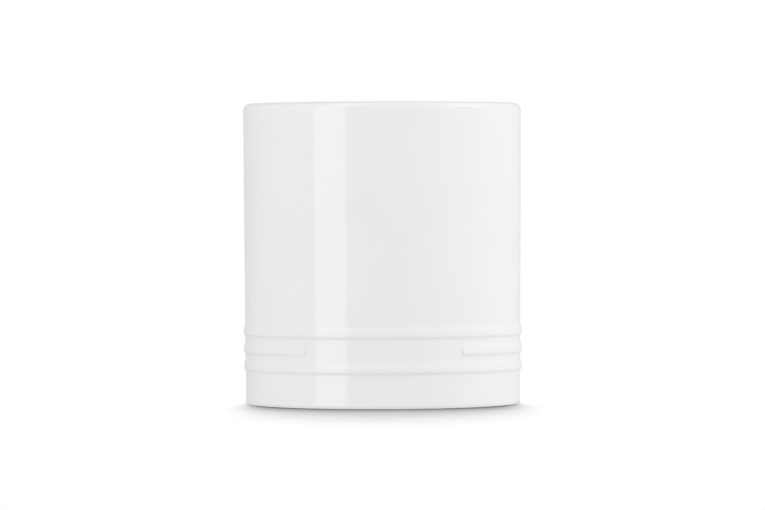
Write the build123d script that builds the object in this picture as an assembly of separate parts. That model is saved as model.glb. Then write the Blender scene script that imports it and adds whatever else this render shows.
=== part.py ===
from build123d import *

import os
from math import atan2, cos, degrees, radians, sin, sqrt, tan

# A utensil crock: one thick fired clay pot, open at the top, and the glaze coats fused to it.
# The origin is the centre of the foot on the table, +Z is up and the front faces -Y.
# All sizes are in millimetres. Heights are above the table.

# Overall form, measured on the finished glaze
HEIGHT = 170.0
FOOT_WALL_RADIUS = 77.65  # the outer wall carried straight down to the table
RIM_WALL_RADIUS = 78.7  # the outer wall carried straight up to the rim
LIP_OUTER_ROUND = 4.0
LIP_INNER_ROUND = 2.8
COVE_ROUND = 9.0  # where the inner wall turns into the floor

# Fired clay and glaze
WALL = 6.2
FLOOR = 6.5
GLAZE = 0.4

# Foot, measured on the bare clay
FOOT_CORNER = 2.3
FOOT_RING_WIDTH = 5.4  # flat ring that stands on the table
RECESS_DEPTH = 2.5  # how far the underside is raised inside the foot ring
RECESS_STEP = 3.5  # width of the curve from the foot ring up to the underside
GLAZE_LINE_ANGLE = 50.0  # degrees that the outer coat reaches down round the foot corner

# Relief rings near the foot
RING_COUNT = 3
BROKEN_RING = 1  # counted from 0 at the bottom
LOWEST_RING_HEIGHT = 18.2  # its lower edge
RING_RELIEF = 0.9
RING_UNDERSIDE = 2.45  # height of the steep lower slope
RING_CREST = 0.9
RING_SHOULDER = 5.4  # height of the gentle upper slope
RING_GAP = 1.1  # plain wall between two rings
RING_ROOT = 0.05  # how deep the slopes start below the wall's surface
BREAK_WIDTH = 91.4  # bare stretch of wall between the broken ring's two ends
NOSE_ROUND = 2.0  # how the broken ring's ends curve down into the wall

# The wall leans outwards a little on its way up.
LEAN = atan2(RIM_WALL_RADIUS - FOOT_WALL_RADIUS, HEIGHT)
UP_WALL = Vector(sin(LEAN), 0, cos(LEAN))
OUT_OF_WALL = Vector(cos(LEAN), 0, -sin(LEAN))
AWAY_FROM_AXIS = Vector(1, 0, 0)
TO_AXIS = Vector(-1, 0, 0)

INNER_WALL = -(GLAZE + WALL + GLAZE)  # the liner's surface, from the outer one
FLOOR_TOP = RECESS_DEPTH + FLOOR + GLAZE
FRONT_ANGLE = -90.0  # degrees about Z
FULL_TURN = 360.0


def at(radius, height):
    """A point of the pot's section."""
    return Vector(radius, 0, height)


def wall_point(height, out):
    """The point at a height that stands out of the outer wall's surface by a distance."""
    return at(FOOT_WALL_RADIUS + height * tan(LEAN) + out / cos(LEAN), height)


# Centres of the section's rounds, each shared by the clay and the glaze over it
FOOT_CENTRE = wall_point(FOOT_CORNER, -GLAZE - FOOT_CORNER)
LIP_OUTER_CENTRE = wall_point(HEIGHT - LIP_OUTER_ROUND, -LIP_OUTER_ROUND)
LIP_INNER_CENTRE = wall_point(HEIGHT - LIP_INNER_ROUND, INNER_WALL + LIP_INNER_ROUND)
COVE_CENTRE = wall_point(FLOOR_TOP + COVE_ROUND, INNER_WALL - COVE_ROUND)

# The recess under the foot: two equal arcs step up from the foot ring to the underside.
RECESS_ARC = (RECESS_STEP**2 + RECESS_DEPTH**2) / (4 * RECESS_DEPTH)
RING_INNER_EDGE = at(FOOT_CENTRE.X - FOOT_RING_WIDTH, 0)
UNDERSIDE_EDGE = at(RING_INNER_EDGE.X - RECESS_STEP, RECESS_DEPTH)
FOOT_RING_CENTRE = RING_INNER_EDGE + at(0, RECESS_ARC)
RECESS_CENTRE = UNDERSIDE_EDGE - at(0, RECESS_ARC)

# Points inside the clay, where the glaze blanks close before the clay is cut out of them
CREST_RADIUS = (LIP_OUTER_CENTRE.X + LIP_INNER_CENTRE.X) / 2
LIP_CORE = at(CREST_RADIUS, HEIGHT - LIP_OUTER_ROUND)
FLOOR_CORE = RECESS_DEPTH + FLOOR / 2


def path(*points):
    """Straight edges through a list of points."""
    return [Line(a, b) for a, b in zip(points, points[1:])]


def s_curve(start, end, direction):
    """Two equal arcs that leave one point and reach the other in the same direction."""
    middle = (start + end) / 2
    first = TangentArc(start, middle, tangent=direction)
    second = TangentArc(end, middle, tangent=-direction)
    return [first, second]


def outer_skin(depth):
    """The outer wall and lip, as deep as asked below the glaze's surface, up to the crest."""
    foot = FOOT_CENTRE + OUT_OF_WALL * (FOOT_CORNER + GLAZE - depth)
    shoulder = LIP_OUTER_CENTRE + OUT_OF_WALL * (LIP_OUTER_ROUND - depth)
    top = LIP_OUTER_CENTRE + at(0, LIP_OUTER_ROUND - depth)
    crest = at(CREST_RADIUS, HEIGHT - depth)
    return [Line(foot, shoulder), TangentArc(shoulder, top, tangent=UP_WALL), Line(top, crest)]


def inner_skin(depth):
    """The inner lip, wall, cove and floor, as deep as asked below the glaze's surface."""
    crest = at(CREST_RADIUS, HEIGHT - depth)
    top = LIP_INNER_CENTRE + at(0, LIP_INNER_ROUND - depth)
    throat = LIP_INNER_CENTRE - OUT_OF_WALL * (LIP_INNER_ROUND - depth)
    cove = COVE_CENTRE + OUT_OF_WALL * (COVE_ROUND + depth)
    floor_edge = COVE_CENTRE - at(0, COVE_ROUND + depth)
    centre = at(0, FLOOR_TOP - depth)
    return [
        Line(crest, top),
        TangentArc(top, throat, tangent=TO_AXIS),
        Line(throat, cove),
        TangentArc(cove, floor_edge, tangent=-UP_WALL),
        Line(floor_edge, centre),
    ]


def ring_start(index):
    """Height of the lower edge of one relief ring."""
    return LOWEST_RING_HEIGHT + index * (RING_UNDERSIDE + RING_CREST + RING_SHOULDER + RING_GAP)


def ring_section(index, depth):
    """One relief ring, standing on the wall's surface or, for the clay, on the clay's."""
    crest_low = ring_start(index) + RING_UNDERSIDE
    crest_high = crest_low + RING_CREST
    root = RING_RELIEF - NOSE_ROUND - depth
    foot_low = wall_point(ring_start(index), -RING_ROOT - depth)
    ridge_low = wall_point(crest_low, RING_RELIEF - depth)
    ridge_high = wall_point(crest_high, RING_RELIEF - depth)
    foot_high = wall_point(crest_high + RING_SHOULDER, -RING_ROOT - depth)
    root_high = wall_point(crest_high + RING_SHOULDER, root)
    root_low = wall_point(ring_start(index), root)
    edges = s_curve(foot_low, ridge_low, UP_WALL)
    edges += [Line(ridge_low, ridge_high)]
    edges += s_curve(ridge_high, foot_high, UP_WALL)
    edges += path(foot_high, root_high, root_low, foot_low)
    return make_face(edges)


def with_rings(outline, depth):
    """A closed outline as a face, joined to the rings that run all the way round."""
    section = make_face(outline)
    for index in range(RING_COUNT):
        if index != BROKEN_RING:
            section = section + ring_section(index, depth)
    return section


def turned(section):
    """A section turned about the pot's axis."""
    return revolve(section, Axis.Z, FULL_TURN)


def broken_ring(depth):
    """The ring that leaves the front bare, with ends that curve down into the wall."""
    section = ring_section(BROKEN_RING, depth)
    wall = wall_point(ring_start(BROKEN_RING), 0)
    root = wall_point(ring_start(BROKEN_RING), RING_RELIEF - NOSE_ROUND - depth)
    nose_reach = sqrt(NOSE_ROUND**2 - (NOSE_ROUND - RING_RELIEF) ** 2)
    half_break = degrees((BREAK_WIDTH / 2 + nose_reach) / wall.X)
    start = FRONT_ANGLE + half_break
    end = FRONT_ANGLE - half_break + FULL_TURN
    band = Rot(0, 0, start) * revolve(section, Axis.Z, end - start)
    nose = revolve(section, Axis(root, UP_WALL), FULL_TURN / 4)
    return band + Rot(0, 0, end) * nose + Rot(0, 0, start) * mirror(nose, Plane.XZ)


def clay_section():
    """Half of the fired pot cut through its axis, without the broken ring."""
    foot_edge = at(FOOT_CENTRE.X, 0)
    foot_side = FOOT_CENTRE + OUT_OF_WALL * FOOT_CORNER
    edges = path(at(0, FLOOR_TOP - GLAZE), at(0, RECESS_DEPTH), UNDERSIDE_EDGE)
    edges += s_curve(UNDERSIDE_EDGE, RING_INNER_EDGE, AWAY_FROM_AXIS)
    edges += path(RING_INNER_EDGE, foot_edge)
    edges += [TangentArc(foot_edge, foot_side, tangent=AWAY_FROM_AXIS)]
    edges += outer_skin(GLAZE) + inner_skin(GLAZE)
    return with_rings(edges, GLAZE)


def stoneware_body():
    """The fired clay pot, bare of glaze."""
    return turned(clay_section()) + broken_ring(GLAZE)


def raised(ring):
    """The part of a ring that stands above the middle of the glaze's thickness."""
    foot = wall_point(0, -GLAZE / 2)
    rim = wall_point(HEIGHT, -GLAZE / 2)
    core = make_face(path(at(0, 0), foot, rim, at(0, HEIGHT), at(0, 0)))
    return ring - turned(core)


def outer_glaze():
    """The coat outside, from the glaze line at the foot to the crest of the lip."""
    line = radians(GLAZE_LINE_ANGLE)
    reach = FOOT_CORNER + GLAZE
    end = FOOT_CENTRE + at(cos(line), -sin(line)) * reach
    side = FOOT_CENTRE + OUT_OF_WALL * reach
    edges = [TangentArc(side, end, tangent=-UP_WALL)]
    edges += outer_skin(0)
    edges += path(at(CREST_RADIUS, HEIGHT), LIP_CORE, FOOT_CENTRE, end)
    coat = turned(with_rings(edges, 0) - clay_section())
    return coat + raised(broken_ring(0)) - broken_ring(GLAZE)


def liner_glaze():
    """The coat inside, from the crest of the lip down the wall and over the floor."""
    corner = at(FOOT_CENTRE.X, FLOOR_CORE)
    edges = inner_skin(0)
    edges += path(at(0, FLOOR_TOP), at(0, FLOOR_CORE), corner, LIP_CORE, at(CREST_RADIUS, HEIGHT))
    return turned(make_face(edges) - clay_section())


def underside_glaze():
    """The coat under the floor, which stops half way down the inside of the foot ring."""
    surface_edge = UNDERSIDE_EDGE - at(0, GLAZE)
    outwards = (FOOT_RING_CENTRE - RECESS_CENTRE).normalized()
    end = RECESS_CENTRE + outwards * (RECESS_ARC - GLAZE)
    corner = at(FOOT_RING_CENTRE.X, FLOOR_CORE)
    edges = path(at(0, FLOOR_CORE), at(0, RECESS_DEPTH - GLAZE), surface_edge)
    edges += [TangentArc(surface_edge, end, tangent=AWAY_FROM_AXIS)]
    edges += path(end, FOOT_RING_CENTRE, corner, at(0, FLOOR_CORE))
    return turned(make_face(edges) - clay_section())


NODES = {
    "stoneware_body": stoneware_body,
    "outer_glaze": outer_glaze,
    "liner_glaze": liner_glaze,
    "underside_glaze": underside_glaze,
}

os.makedirs("parts", exist_ok=True)
for name, make in NODES.items():
    shape = make()
    export_step(shape, f"parts/{name}.step")
    print(f"{name}: {len(shape.solids())} solid, {shape.volume / 1000:.2f} cm3")
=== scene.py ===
from math import atan2, cos, degrees, pi, radians, sin, sqrt, tan

import bmesh
import bpy
from mathutils import Matrix, Vector


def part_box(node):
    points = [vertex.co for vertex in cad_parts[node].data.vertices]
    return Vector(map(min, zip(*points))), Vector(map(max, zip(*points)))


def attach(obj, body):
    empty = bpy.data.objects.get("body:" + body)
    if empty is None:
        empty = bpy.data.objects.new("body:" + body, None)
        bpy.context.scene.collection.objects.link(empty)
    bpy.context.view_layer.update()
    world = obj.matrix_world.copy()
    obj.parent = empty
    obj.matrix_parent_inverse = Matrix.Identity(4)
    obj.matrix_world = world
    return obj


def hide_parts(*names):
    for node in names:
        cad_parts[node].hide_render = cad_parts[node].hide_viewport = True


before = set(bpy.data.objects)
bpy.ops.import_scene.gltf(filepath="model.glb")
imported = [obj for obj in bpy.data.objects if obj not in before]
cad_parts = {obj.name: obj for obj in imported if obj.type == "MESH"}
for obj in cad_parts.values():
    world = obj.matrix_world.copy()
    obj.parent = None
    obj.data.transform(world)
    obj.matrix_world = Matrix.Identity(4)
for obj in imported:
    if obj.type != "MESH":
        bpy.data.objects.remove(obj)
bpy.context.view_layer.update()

MM = 0.001

# The pot, with its sizes at the surface of the glaze, as in the CAD part
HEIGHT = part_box("outer_glaze")[1].z
FOOT_WALL_RADIUS = 77.65 * MM  # the outer wall carried straight down to the table
RIM_WALL_RADIUS = 78.7 * MM  # the outer wall carried straight up to the rim
LIP_OUTER_ROUND = 4.0 * MM
LIP_INNER_ROUND = 2.8 * MM
COVE_ROUND = 9.0 * MM  # where the inner wall turns into the floor
WALL = 6.2 * MM
GLAZE = 0.4 * MM
FLOOR_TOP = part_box("liner_glaze")[0].z + GLAZE
FOOT_CORNER = 2.3 * MM
FOOT_RING_WIDTH = 5.4 * MM
RECESS_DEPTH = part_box("underside_glaze")[1].z
RECESS_STEP = 3.5 * MM

# The outer coat's lower edge, which wanders a little, as the edge of wiped glaze does
GLAZE_LINE_ANGLE = 50  # degrees that it reaches down round the foot corner
GLAZE_LINE_WANDER = 6  # degrees that it wanders back up from there, at most
GLAZE_LINE_WAVES = ((0.2, 3, 1), (0.2, 7, 0), (0.1, 16, 0))  # share, waves in a turn, and start

# The relief rings near the foot
RING_COUNT = 3
BROKEN_RING = 1  # counted from 0 at the bottom
LOWEST_RING_HEIGHT = 18.2 * MM
RING_RELIEF = 0.87 * MM  # a hair under the CAD part's, so that no crest leaves its box
RING_UNDERSIDE = 2.45 * MM
RING_CREST = 0.9 * MM
RING_SHOULDER = 5.4 * MM
RING_GAP = 1.1 * MM
RING_PITCH = RING_UNDERSIDE + RING_CREST + RING_SHOULDER + RING_GAP
RINGS_TOP = LOWEST_RING_HEIGHT + RING_COUNT * RING_PITCH
BREAK_WIDTH = 91.4 * MM
NOSE_ROUND = 2.0 * MM  # how the broken ring's ends curve down into the wall
NOSE_REACH = sqrt(NOSE_ROUND**2 - (NOSE_ROUND - RING_RELIEF) ** 2)

# How the sections are turned, from the front to the back, in sectors of (degrees, steps)
SECTORS_WITH_BREAK = ((32, 32), (5, 40), (143, 143))  # fine where the broken ring ends
LINER_SECTORS = ((180, 180),)
UNDERSIDE_SECTORS = ((180, 120),)
MERGE_DISTANCE = 0.002 * MM
SHARP_EDGE = 40  # degrees between two faces from which their edge stays sharp

# The glaze
GLAZE_WHITE = (0.820, 0.820, 0.820)
GLAZE_THIN_WHITE = (0.807, 0.807, 0.807)
GLAZE_PATCHES = 28 * MM
GLAZE_SHEEN = (0.05, 0.085)  # its roughness, from the glossiest patches to the dullest
GLAZE_SHEEN_PATCHES = 9 * MM
GLAZE_IOR = 1.5
GLAZE_ROLL = 16 * MM
GLAZE_ROLL_DEPTH = 0.05 * MM
GLAZE_SKIN = 1.6 * MM
GLAZE_SKIN_DEPTH = 0.0015 * MM

# The bare clay
CLAY_PALE = (0.76, 0.70, 0.60)
CLAY_TOASTED = (0.66, 0.59, 0.49)
CLAY_PATCHES = 12 * MM
CLAY_ROUGHNESS = 0.88
CLAY_GRAIN = 0.7 * MM
CLAY_GRAIN_DEPTH = 0.12 * MM

NOISE_MIDDLE = (0.3, 0.7)  # the range that most of a noise lies in
MIX_COLOURS = (6, 7)  # a Mix node's sockets for colours share their names with those for numbers
MIX_RESULT_COLOUR = 2

# The room
WORLD_LIGHT = 0.5
ROOM_AROUND = (  # its brightness in reflections, all the way round from the back by the left
    0.74, 0.65, 0.85, 1.01, 0.96, 0.83, 0.91, 1.02, 0.86, 0.74,
)

# The table
TABLE_RADIUS = 6
TABLE_DROP = 0.02 * MM  # keeps it just clear of the foot
TABLE_COLOUR = (0.5, 0.5, 0.5)
TABLE_BOUNCE = 0.77  # the even light that it throws back up at the pot
TABLE_FADE = (0.40, 0.65)  # distances from the pot between which it turns plain white
SHADOW_EDGE = (66 * MM, 96 * MM)  # the same to either side, where the table turns plain white and so cuts off the pot's shadow
# How far two shades painted into the table's colour reach from the pot, and from where to where
# they fade in before and behind it
PAINTED_CONTACT_LINE = (12 * MM, 12 * MM, 36 * MM)
PAINTED_CONTACT_SHADE = (40 * MM, 20 * MM, 75 * MM)

# The softboxes. Each has its name, its degrees to the right of the camera and its degrees up, its
# distance from the pot, its width and height, and its brightness, where white paper has 1.
LAMP_POWER = 4  # watts for each square metre of a lamp as bright as white paper
STRIP_IN_GLAZE = (("left_strip", -43, 4, 1.6, 0.78, 2.6, 1.065),)
REFLECTIONS_ONLY = (
    ("left_strip_top", -43, 62, 1.6, 0.78, 1.0, 1.065),
    ("lip_box", 78, 38, 1.8, 1.1, 0.7, 1.25),
)
PLAIN_LIGHT_ONLY = (
    ("left_fill", -80, 15, 2.0, 1.6, 1.6, 0.78),
    ("front_fill", 0, 20, 2.0, 1.6, 1.6, 0.58),
    ("right_fill", 80, 15, 2.0, 1.6, 1.6, 1.74),
    ("right_back_fill", 120, 15, 2.0, 1.6, 1.6, 0.49),
    ("high_fill", 20, 60, 2.0, 1.6, 1.6, 0.514),
    ("back_fill", 180, 25, 2.0, 1.4, 1.2, 1.2),
    ("left_back_fill", -140, 20, 2.0, 1.4, 1.2, 0.6),
)
TABLE_BOXES = (  # mostly from behind, which lays the shadow in front of the pot
    ("table_back_box", 180, 63.5, 1.8, 0.6, 1.45, 12.2),
    ("table_front_box", 0, 60, 1.8, 0.6, 0.6, 13.3),
    ("table_low_back_box", 180, 22, 2.0, 2.0, 0.8, 8.7),
)

# The light that falls in at the mouth
MOUTH_LIGHT = 0.3
MOUTH_LIGHT_RADIUS = 58 * MM
MOUTH_LIGHT_DEPTH = 4 * MM

# The photograph: where its camera stands and how the pot sits in it
PHOTO_WIDTH = 765
FOCAL_PIXELS = 4958
SENSOR_WIDTH = 36
CAMERA_DISTANCE = 2.810
CAMERA_HEIGHT = 0.125
CAMERA_AZIMUTH = -0.6  # degrees, towards the pot's left
CAMERA_PITCH = -0.834
CAMERA_ROLL = -0.19
NEAREST_SEEN = 0.1
FARTHEST_SEEN = 50

# The section: its lean, its axis and the centres of its rounds
UP = Vector((0, 0, 1))
SECTION_AXIS = (0, 1, 0)
LEAN = atan2(RIM_WALL_RADIUS - FOOT_WALL_RADIUS, HEIGHT)
LEAN_ANGLE = degrees(LEAN)
OUT_OF_WALL = Vector((cos(LEAN), 0, -sin(LEAN)))
INNER_WALL = -(WALL + 2 * GLAZE)  # the liner's surface, from the outer one


def at(radius, height):
    """A point of the pot's section."""
    return Vector((radius, 0, height))


def wall_point(height, out):
    """The point at a height that stands out of the outer wall's surface by a distance."""
    return at(FOOT_WALL_RADIUS + height * tan(LEAN) + out / cos(LEAN), height)


FOOT_CENTRE = wall_point(FOOT_CORNER, -GLAZE - FOOT_CORNER)
LIP_OUTER_CENTRE = wall_point(HEIGHT - LIP_OUTER_ROUND, -LIP_OUTER_ROUND)
LIP_INNER_CENTRE = wall_point(HEIGHT - LIP_INNER_ROUND, INNER_WALL + LIP_INNER_ROUND)
COVE_CENTRE = wall_point(FLOOR_TOP + COVE_ROUND, INNER_WALL - COVE_ROUND)
CREST_RADIUS = (LIP_OUTER_CENTRE.x + LIP_INNER_CENTRE.x) / 2
RECESS_ARC = (RECESS_STEP**2 + RECESS_DEPTH**2) / (4 * RECESS_DEPTH)
FOOT_RING_CENTRE = at(FOOT_CENTRE.x - FOOT_RING_WIDTH, RECESS_ARC)
RECESS_CENTRE = at(FOOT_RING_CENTRE.x - RECESS_STEP, RECESS_DEPTH - RECESS_ARC)


def into_scene(name, data):
    """The object that shows a mesh, a lamp or a camera."""
    thing = bpy.data.objects.new(name, data)
    bpy.context.scene.collection.objects.link(thing)
    return thing


# Drawing and turning a section


def draw_line(bm, pen, point, steps=1):
    """A straight stroke from the pen to a point, in equal steps. Gives the pen's new vertex."""
    stride = (point - pen.co) / steps
    line = bmesh.ops.spin(bm, geom=[pen], axis=SECTION_AXIS, dvec=stride, steps=steps)
    return line["geom_last"][0]


def draw_arc(bm, pen, centre, angle, steps):
    """A round stroke about a centre. Plus degrees turn the pen from up towards outwards."""
    arc = bmesh.ops.spin(
        bm, geom=[pen], cent=centre, axis=SECTION_AXIS, angle=radians(angle), steps=steps
    )
    return arc["geom_last"][0]


def turn_on_wheel(bm, sectors):
    """Turns the section from the front to the back, and mirrors it."""
    bmesh.ops.rotate(bm, verts=bm.verts, matrix=Matrix.Rotation(radians(-90), 3, UP))
    edge = bm.verts[:] + bm.edges[:]
    for angle, steps in sectors:
        turned = bmesh.ops.spin(bm, geom=edge, axis=UP, angle=radians(angle), steps=steps)
        edge = turned["geom_last"]
    half = bm.verts[:] + bm.edges[:] + bm.faces[:]
    bmesh.ops.mirror(bm, geom=half, axis="X", merge_dist=0)
    bmesh.ops.remove_doubles(bm, verts=bm.verts, dist=MERGE_DISTANCE)
    bmesh.ops.recalc_face_normals(bm, faces=bm.faces)


def finished_piece(name, bm, finish, node):
    """The mesh as a piece on the pot's body, in place of its CAD node."""
    for face in bm.faces:
        face.smooth = True
    for edge in bm.edges:
        edge.smooth = edge.calc_face_angle(0) < radians(SHARP_EDGE)
    mesh = bpy.data.meshes.new(name)
    bm.to_mesh(mesh)
    bm.free()
    mesh.materials.append(finish)
    piece = into_scene(name, mesh)
    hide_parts(node)
    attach(piece, "root")
    return piece


# What is done to the turned outer coat


def away_from_axis(point):
    """The level direction from the pot's axis to a point."""
    return Vector((point.x, point.y, 0)).normalized()


def turn_from_front(point):
    """The angle from the front to a point, plus to the right."""
    return atan2(point.x, -point.y)


def ring_relief(height):
    """How far a ring stands out of the wall at a height above its lower edge."""
    if height < RING_UNDERSIDE:
        share = height / RING_UNDERSIDE
    else:
        share = 1 - (height - RING_UNDERSIDE - RING_CREST) / RING_SHOULDER
    share = min(max(share, 0), 1)
    curve = 2 * share**2 if share < 0.5 else 1 - 2 * (1 - share) ** 2
    return RING_RELIEF * curve


def nose_relief(relief, past_end):
    """What is left of a ring's relief past its end, where it curves down into the wall."""
    core = NOSE_ROUND - RING_RELIEF
    left = (core + relief) ** 2 - max(past_end, 0) ** 2
    return max(sqrt(max(left, 0)) - core, 0)


def relief_at(point):
    """How far the rings stand out of the wall at a point on it."""
    index = (point.z - LOWEST_RING_HEIGHT) // RING_PITCH
    if index < 0 or index >= RING_COUNT:
        return 0
    relief = ring_relief(point.z - LOWEST_RING_HEIGHT - index * RING_PITCH)
    if index != BROKEN_RING:
        return relief
    from_front = abs(turn_from_front(point)) * FOOT_WALL_RADIUS
    return nose_relief(relief, BREAK_WIDTH / 2 + NOSE_REACH - from_front)


def raise_rings(bm):
    """Pushes the coat out where the rings are, its back as well as its surface."""
    for vert in bm.verts:
        vert.co += away_from_axis(vert.co) * relief_at(vert.co)


def glaze_line_wave(around):
    """The share of its wander that the glaze line takes at an angle from the front."""
    waves = [share * sin(count * around + start) for share, count, start in GLAZE_LINE_WAVES]
    return sum(waves, 0.5)


def wander_glaze_line(bm):
    """Turns the coat's lower edge back up round the foot corner, here more and there less."""
    for vert in bm.verts:
        below = FOOT_CENTRE.z - vert.co.z
        if below > 0:
            wave = glaze_line_wave(turn_from_front(vert.co))
            outwards = away_from_axis(vert.co)
            centre = outwards * FOOT_CENTRE.x + UP * FOOT_CENTRE.z
            back = -wave * GLAZE_LINE_WANDER * below / FOOT_CENTRE.z
            turn = Matrix.Rotation(radians(back), 3, outwards.cross(UP))
            vert.co = centre + turn @ (vert.co - centre)


# The pieces


def outer_coat(finish):
    """The glaze outside, from the crest of the lip to a rounded edge just above the table."""
    bm = bmesh.new()
    crest = at(CREST_RADIUS, HEIGHT)
    pen = draw_line(bm, bm.verts.new(crest), at(LIP_OUTER_CENTRE.x, HEIGHT), steps=2)
    pen = draw_arc(bm, pen, LIP_OUTER_CENTRE, 90 + LEAN_ANGLE, steps=16)
    pen = draw_line(bm, pen, wall_point(RINGS_TOP, 0), steps=10)
    pen = draw_line(bm, pen, wall_point(LOWEST_RING_HEIGHT, 0), steps=96)
    pen = draw_line(bm, pen, FOOT_CENTRE + OUT_OF_WALL * (FOOT_CORNER + GLAZE), steps=6)
    pen = draw_arc(bm, pen, FOOT_CENTRE, GLAZE_LINE_ANGLE - LEAN_ANGLE, steps=8)
    line = radians(GLAZE_LINE_ANGLE)
    roll = FOOT_CENTRE + at(cos(line), -sin(line)) * (FOOT_CORNER + GLAZE / 2)
    pen = draw_arc(bm, pen, roll, 180, steps=6)
    pen = draw_arc(bm, pen, FOOT_CENTRE, LEAN_ANGLE - GLAZE_LINE_ANGLE, steps=6)
    pen = draw_line(bm, pen, wall_point(LOWEST_RING_HEIGHT, -GLAZE), steps=2)
    pen = draw_line(bm, pen, wall_point(RINGS_TOP, -GLAZE), steps=48)
    shoulder = LIP_OUTER_CENTRE + OUT_OF_WALL * (LIP_OUTER_ROUND - GLAZE)
    pen = draw_line(bm, pen, shoulder, steps=2)
    pen = draw_arc(bm, pen, LIP_OUTER_CENTRE, -90 - LEAN_ANGLE, steps=8)
    pen = draw_line(bm, pen, at(CREST_RADIUS, HEIGHT - GLAZE))
    draw_line(bm, pen, crest)
    turn_on_wheel(bm, SECTORS_WITH_BREAK)
    raise_rings(bm)
    wander_glaze_line(bm)
    return finished_piece("outer_coat", bm, finish, "outer_glaze")


def liner_coat(finish):
    """The glaze inside, from the crest of the lip down the wall and over the floor."""
    bm = bmesh.new()
    crest = at(CREST_RADIUS, HEIGHT)
    pen = draw_line(bm, bm.verts.new(crest), at(LIP_INNER_CENTRE.x, HEIGHT), steps=2)
    pen = draw_arc(bm, pen, LIP_INNER_CENTRE, LEAN_ANGLE - 90, steps=14)
    pen = draw_line(bm, pen, COVE_CENTRE + OUT_OF_WALL * COVE_ROUND, steps=24)
    pen = draw_arc(bm, pen, COVE_CENTRE, 90 - LEAN_ANGLE, steps=20)
    pen = draw_line(bm, pen, at(0, FLOOR_TOP), steps=16)
    pen = draw_line(bm, pen, at(0, FLOOR_TOP - GLAZE))
    pen = draw_line(bm, pen, COVE_CENTRE - UP * (COVE_ROUND + GLAZE), steps=4)
    pen = draw_arc(bm, pen, COVE_CENTRE, LEAN_ANGLE - 90, steps=10)
    throat = LIP_INNER_CENTRE - OUT_OF_WALL * (LIP_INNER_ROUND - GLAZE)
    pen = draw_line(bm, pen, throat, steps=8)
    pen = draw_arc(bm, pen, LIP_INNER_CENTRE, 90 - LEAN_ANGLE, steps=8)
    pen = draw_line(bm, pen, at(CREST_RADIUS, HEIGHT - GLAZE))
    draw_line(bm, pen, crest)
    turn_on_wheel(bm, LINER_SECTORS)
    return finished_piece("liner_coat", bm, finish, "liner_glaze")


def underside_coat(finish):
    """The glaze under the floor, which stops half way down the inside of the foot ring."""
    bm = bmesh.new()
    centre = at(0, RECESS_DEPTH - GLAZE)
    rim = at(RECESS_CENTRE.x, RECESS_DEPTH - GLAZE)
    pen = draw_line(bm, bm.verts.new(centre), rim, steps=16)
    half_way = degrees(atan2(RECESS_STEP / 2, RECESS_ARC - RECESS_DEPTH / 2))
    pen = draw_arc(bm, pen, RECESS_CENTRE, half_way, steps=8)
    towards_ring = (FOOT_RING_CENTRE - RECESS_CENTRE).normalized()
    roll = RECESS_CENTRE + towards_ring * (RECESS_ARC - GLAZE / 2)
    pen = draw_arc(bm, pen, roll, -180, steps=6)
    pen = draw_arc(bm, pen, RECESS_CENTRE, -half_way, steps=8)
    pen = draw_line(bm, pen, at(0, RECESS_DEPTH), steps=4)
    draw_line(bm, pen, centre)
    turn_on_wheel(bm, UNDERSIDE_SECTORS)
    return finished_piece("underside_coat", bm, finish, "underside_glaze")


# What the finishes are made with


def new_finish(name):
    """An empty material, with its nodes, its links and its surface shader."""
    finish = bpy.data.materials.new(name)
    finish.use_nodes = True
    nodes = finish.node_tree.nodes
    return finish, nodes, finish.node_tree.links, nodes["Principled BSDF"]


def noise(nodes, links, place, size, detail, roughness=0.5):
    """Cloudy noise whose patches measure about the size given, in metres."""
    texture = nodes.new("ShaderNodeTexNoise")
    texture.inputs["Scale"].default_value = 1 / size
    texture.inputs["Detail"].default_value = detail
    texture.inputs["Roughness"].default_value = roughness
    links.new(place, texture.inputs["Vector"])
    return texture.outputs["Fac"]


def map_range(nodes, links, value, before, after=(0, 1), interpolation="LINEAR"):
    """A number moved from one range to another, and held within it."""
    ranged = nodes.new("ShaderNodeMapRange")
    ranged.interpolation_type = interpolation
    ranged.inputs["From Min"].default_value = before[0]
    ranged.inputs["From Max"].default_value = before[1]
    ranged.inputs["To Min"].default_value = after[0]
    ranged.inputs["To Max"].default_value = after[1]
    links.new(value, ranged.inputs["Value"])
    return ranged.outputs["Result"]


def fade(nodes, links, value, start, end):
    """0 up to the start and 1 from the end, with a soft change between them."""
    return map_range(nodes, links, value, (start, end), interpolation="SMOOTHSTEP")


def calculate(nodes, links, operation, *values):
    """The result of an operation on plain numbers and other nodes' outputs."""
    step = nodes.new("ShaderNodeMath")
    step.operation = operation
    for socket, value in zip(step.inputs, values):
        if isinstance(value, bpy.types.NodeSocket):
            links.new(value, socket)
        else:
            socket.default_value = value
    return step.outputs[0]


def blend_colours(nodes, links, share, *colours):
    """A colour between two, by a share from 0 to 1."""
    mix = nodes.new("ShaderNodeMix")
    mix.data_type = "RGBA"
    for index, colour in zip(MIX_COLOURS, colours):
        mix.inputs[index].default_value = (*colour, 1)
    links.new(share, mix.inputs["Factor"])
    return mix.outputs[MIX_RESULT_COLOUR]


def blend_surfaces(nodes, links, share, first, second):
    """A surface between two, by a share from 0 to 1."""
    mix = nodes.new("ShaderNodeMixShader")
    links.new(share, mix.inputs["Fac"])
    links.new(first.outputs[0], mix.inputs[1])
    links.new(second.outputs[0], mix.inputs[2])
    return mix


def bump(nodes, links, height, depth, before=None):
    """Relief in the shading, as deep as given in metres, on top of an earlier one."""
    relief = nodes.new("ShaderNodeBump")
    relief.inputs["Strength"].default_value = 1
    relief.inputs["Distance"].default_value = depth
    links.new(height, relief.inputs["Height"])
    if before:
        links.new(before, relief.inputs["Normal"])
    return relief.outputs["Normal"]


# The pot's finishes


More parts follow.
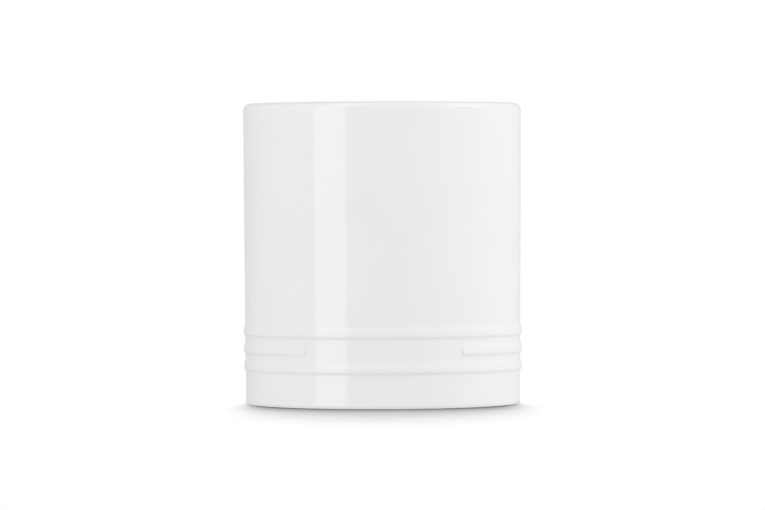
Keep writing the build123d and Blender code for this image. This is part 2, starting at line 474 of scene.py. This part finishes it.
def glossy_white_glaze():
    """Thick white glaze: a smooth gloss with a faint roll in it, and patches a shade thinner."""
    finish, nodes, links, surface = new_finish("glossy_white_glaze")
    place = nodes.new("ShaderNodeTexCoord").outputs["Object"]
    patches = noise(nodes, links, place, GLAZE_PATCHES, detail=3)
    thinness = map_range(nodes, links, patches, NOISE_MIDDLE)
    colour = blend_colours(nodes, links, thinness, GLAZE_WHITE, GLAZE_THIN_WHITE)
    links.new(colour, surface.inputs["Base Color"])
    sheen_patches = noise(nodes, links, place, GLAZE_SHEEN_PATCHES, detail=4)
    sheen = map_range(nodes, links, sheen_patches, NOISE_MIDDLE, GLAZE_SHEEN)
    links.new(sheen, surface.inputs["Roughness"])
    surface.inputs["IOR"].default_value = GLAZE_IOR
    roll = bump(nodes, links, noise(nodes, links, place, GLAZE_ROLL, detail=1), GLAZE_ROLL_DEPTH)
    skin = noise(nodes, links, place, GLAZE_SKIN, detail=2)
    links.new(bump(nodes, links, skin, GLAZE_SKIN_DEPTH, roll), surface.inputs["Normal"])
    return finish


def bare_fired_clay():
    """Unglazed stoneware: warm and matt, with toasted patches and a sandy grain."""
    finish, nodes, links, surface = new_finish("bare_fired_clay")
    place = nodes.new("ShaderNodeTexCoord").outputs["Object"]
    patches = noise(nodes, links, place, CLAY_PATCHES, detail=4)
    toast = map_range(nodes, links, patches, NOISE_MIDDLE)
    colour = blend_colours(nodes, links, toast, CLAY_PALE, CLAY_TOASTED)
    links.new(colour, surface.inputs["Base Color"])
    surface.inputs["Roughness"].default_value = CLAY_ROUGHNESS
    grain = noise(nodes, links, place, CLAY_GRAIN, detail=4, roughness=0.7)
    links.new(bump(nodes, links, grain, CLAY_GRAIN_DEPTH), surface.inputs["Normal"])
    return finish


# The room and the table


def room_around(nodes, links):
    """The room's brightness by the compass, smooth from one of its values to the next."""
    direction = nodes.new("ShaderNodeSeparateXYZ")
    links.new(nodes.new("ShaderNodeTexCoord").outputs["Generated"], direction.inputs["Vector"])
    forwards = calculate(nodes, links, "MULTIPLY", direction.outputs["Y"], -1)
    azimuth = calculate(nodes, links, "ARCTAN2", direction.outputs["X"], forwards)
    share_of_turn = calculate(nodes, links, "MULTIPLY_ADD", azimuth, 1 / (2 * pi), 0.5)
    room = nodes.new("ShaderNodeValToRGB")
    links.new(share_of_turn, room.inputs["Fac"])
    room.color_ramp.interpolation = "CARDINAL"
    stops = room.color_ramp.elements
    while len(stops) < len(ROOM_AROUND):
        stops.new(0.5)
    for index, brightness in enumerate(ROOM_AROUND):
        stops[index].position = index / (len(ROOM_AROUND) - 1)
        stops[index].color = (brightness, brightness, brightness, 1)
    return room.outputs["Color"]


def white_surroundings():
    """A room that is plain white to the camera, its own brightness in reflections, and soft."""
    world = bpy.data.worlds.new("white_surroundings")
    world.use_nodes = True
    bpy.context.scene.world = world
    nodes, links = world.node_tree.nodes, world.node_tree.links
    rays = nodes.new("ShaderNodeLightPath").outputs
    camera_ray = rays["Is Camera Ray"]
    glossy_ray = rays["Is Glossy Ray"]
    glass_ray = rays["Is Transmission Ray"]
    light = calculate(nodes, links, "MULTIPLY_ADD", camera_ray, 1 - WORLD_LIGHT, WORLD_LIGHT)
    strength = nodes.new("ShaderNodeMix")
    mirrored = calculate(nodes, links, "MAXIMUM", glossy_ray, glass_ray)
    links.new(mirrored, strength.inputs["Factor"])
    links.new(light, strength.inputs["A"])
    links.new(room_around(nodes, links), strength.inputs["B"])
    links.new(strength.outputs["Result"], nodes["Background"].inputs["Strength"])
    nodes["Background"].inputs["Color"].default_value = (1, 1, 1, 1)


def painted_closeness_shade(nodes, links, lengthways, reach, start, end):
    """Painted shade for a colour, from what stands within reach, which fades in with the distance
    lengthways.
    """
    opening = nodes.new("ShaderNodeAmbientOcclusion")
    opening.inputs["Distance"].default_value = reach
    power = fade(nodes, links, lengthways, start, end)
    return calculate(nodes, links, "POWER", opening.outputs["AO"], power)


def pale_table_finish():
    """Matt and pale before and behind the pot, with a painted shade close to it, and plain white
    beyond and to either side.
    """
    finish, nodes, links, surface = new_finish("pale_table")
    place = nodes.new("ShaderNodeTexCoord").outputs["Object"]
    sides = nodes.new("ShaderNodeSeparateXYZ")
    links.new(place, sides.inputs["Vector"])
    sideways = calculate(nodes, links, "ABSOLUTE", sides.outputs["X"])
    lengthways = calculate(nodes, links, "ABSOLUTE", sides.outputs["Y"])
    # Painted shade: the table's colour darkens towards black near the pot's foot, most before and
    # behind it
    line = painted_closeness_shade(nodes, links, lengthways, *PAINTED_CONTACT_LINE)
    shade = painted_closeness_shade(nodes, links, lengthways, *PAINTED_CONTACT_SHADE)
    open_share = calculate(nodes, links, "MULTIPLY", line, shade)
    colour = blend_colours(nodes, links, open_share, (0, 0, 0), TABLE_COLOUR)
    links.new(colour, surface.inputs["Base Color"])
    surface.inputs["Roughness"].default_value = 1
    surface.inputs["Specular IOR Level"].default_value = 0

    distance = nodes.new("ShaderNodeVectorMath")
    distance.operation = "LENGTH"
    links.new(place, distance.inputs[0])
    far = fade(nodes, links, distance.outputs["Value"], *TABLE_FADE)
    # Beside the pot the table glows plain white, which cuts off the pot's shadow there
    beside = fade(nodes, links, sideways, *SHADOW_EDGE)
    white_share = calculate(nodes, links, "MAXIMUM", far, beside)
    white = nodes.new("ShaderNodeEmission")
    seen = blend_surfaces(nodes, links, white_share, surface, white)
    bounce = nodes.new("ShaderNodeEmission")
    bounce.inputs["Strength"].default_value = TABLE_BOUNCE
    camera_ray = nodes.new("ShaderNodeLightPath").outputs["Is Camera Ray"]
    table_top = blend_surfaces(nodes, links, camera_ray, bounce, seen)
    links.new(table_top.outputs[0], nodes["Material Output"].inputs["Surface"])
    return finish


def pale_table():
    """A round table, wider than the view, that doesn't show in reflections."""
    bm = bmesh.new()
    bmesh.ops.create_circle(bm, cap_ends=True, segments=96, radius=TABLE_RADIUS)
    bmesh.ops.translate(bm, verts=bm.verts, vec=-UP * TABLE_DROP)
    mesh = bpy.data.meshes.new("table")
    bm.to_mesh(mesh)
    bm.free()
    mesh.materials.append(pale_table_finish())
    table = into_scene("table", mesh)
    table.visible_glossy = False
    return table


# The lamps and the camera


def collection_of(name, *pieces):
    """A collection that a lamp's light can be kept to."""
    collection = bpy.data.collections.new(name)
    for piece in pieces:
        collection.objects.link(piece)
    return collection


def soft_lamp(name, shape, area, brightness, lit):
    """A lamp that the camera doesn't see, with its light kept to one collection."""
    lamp = bpy.data.lights.new(name, "AREA")
    lamp.shape = shape
    lamp.energy = LAMP_POWER * brightness * area
    holder = into_scene(name, lamp)
    holder.light_linking.receiver_collection = lit
    holder.visible_camera = False
    return holder


def softbox(name, azimuth, elevation, distance, width, height, brightness, lit):
    """A rectangular lamp that faces the middle of the pot."""
    holder = soft_lamp(name, "RECTANGLE", width * height, brightness, lit)
    holder.data.size = width
    holder.data.size_y = height
    turn = radians(azimuth + CAMERA_AZIMUTH)
    rise = radians(elevation)
    direction = Vector((sin(turn) * cos(rise), -cos(turn) * cos(rise), sin(rise)))
    holder.rotation_euler = direction.to_track_quat("Z", "Y").to_euler()
    holder.location = UP * HEIGHT / 2 + direction * distance
    return holder


def mouth_light(lit):
    """What falls in at the mouth, from a round lamp in it that shines down on the liner."""
    area = pi * MOUTH_LIGHT_RADIUS**2
    holder = soft_lamp("mouth_light", "DISK", area, MOUTH_LIGHT, lit)
    holder.data.size = 2 * MOUTH_LIGHT_RADIUS
    holder.location = UP * (HEIGHT - MOUTH_LIGHT_DEPTH)
    holder.visible_glossy = False


def camera():
    """The photograph's camera."""
    view = bpy.data.cameras.new("camera")
    view.sensor_width = SENSOR_WIDTH
    view.lens = FOCAL_PIXELS * SENSOR_WIDTH / PHOTO_WIDTH
    view.clip_start = NEAREST_SEEN
    view.clip_end = FARTHEST_SEEN
    holder = into_scene("camera", view)
    turn = radians(CAMERA_AZIMUTH)
    holder.location = (CAMERA_DISTANCE * sin(turn), -CAMERA_DISTANCE * cos(turn), CAMERA_HEIGHT)
    facing = Matrix.Rotation(turn, 3, "Z") @ Matrix.Rotation(radians(90 + CAMERA_PITCH), 3, "X")
    facing = facing @ Matrix.Rotation(radians(CAMERA_ROLL), 3, "Z")
    holder.rotation_euler = facing.to_euler()
    bpy.context.scene.camera = holder


glaze = glossy_white_glaze()
outside = outer_coat(glaze)
inside = liner_coat(glaze)
underside = underside_coat(glaze)
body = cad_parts["stoneware_body"]
body.data.materials.clear()
body.data.materials.append(bare_fired_clay())

white_surroundings()
table = pale_table()
camera()
pot_alone = collection_of("pot_alone", outside, inside, underside, body)
table_alone = collection_of("table_alone", table)

for box in STRIP_IN_GLAZE:
    softbox(*box, pot_alone)
for box in REFLECTIONS_ONLY:
    softbox(*box, pot_alone).visible_diffuse = False
for box in PLAIN_LIGHT_ONLY:
    softbox(*box, pot_alone).visible_glossy = False
mouth_light(pot_alone)
for box in TABLE_BOXES:
    softbox(*box, table_alone)

bpy.context.scene.view_settings.view_transform = "Standard"
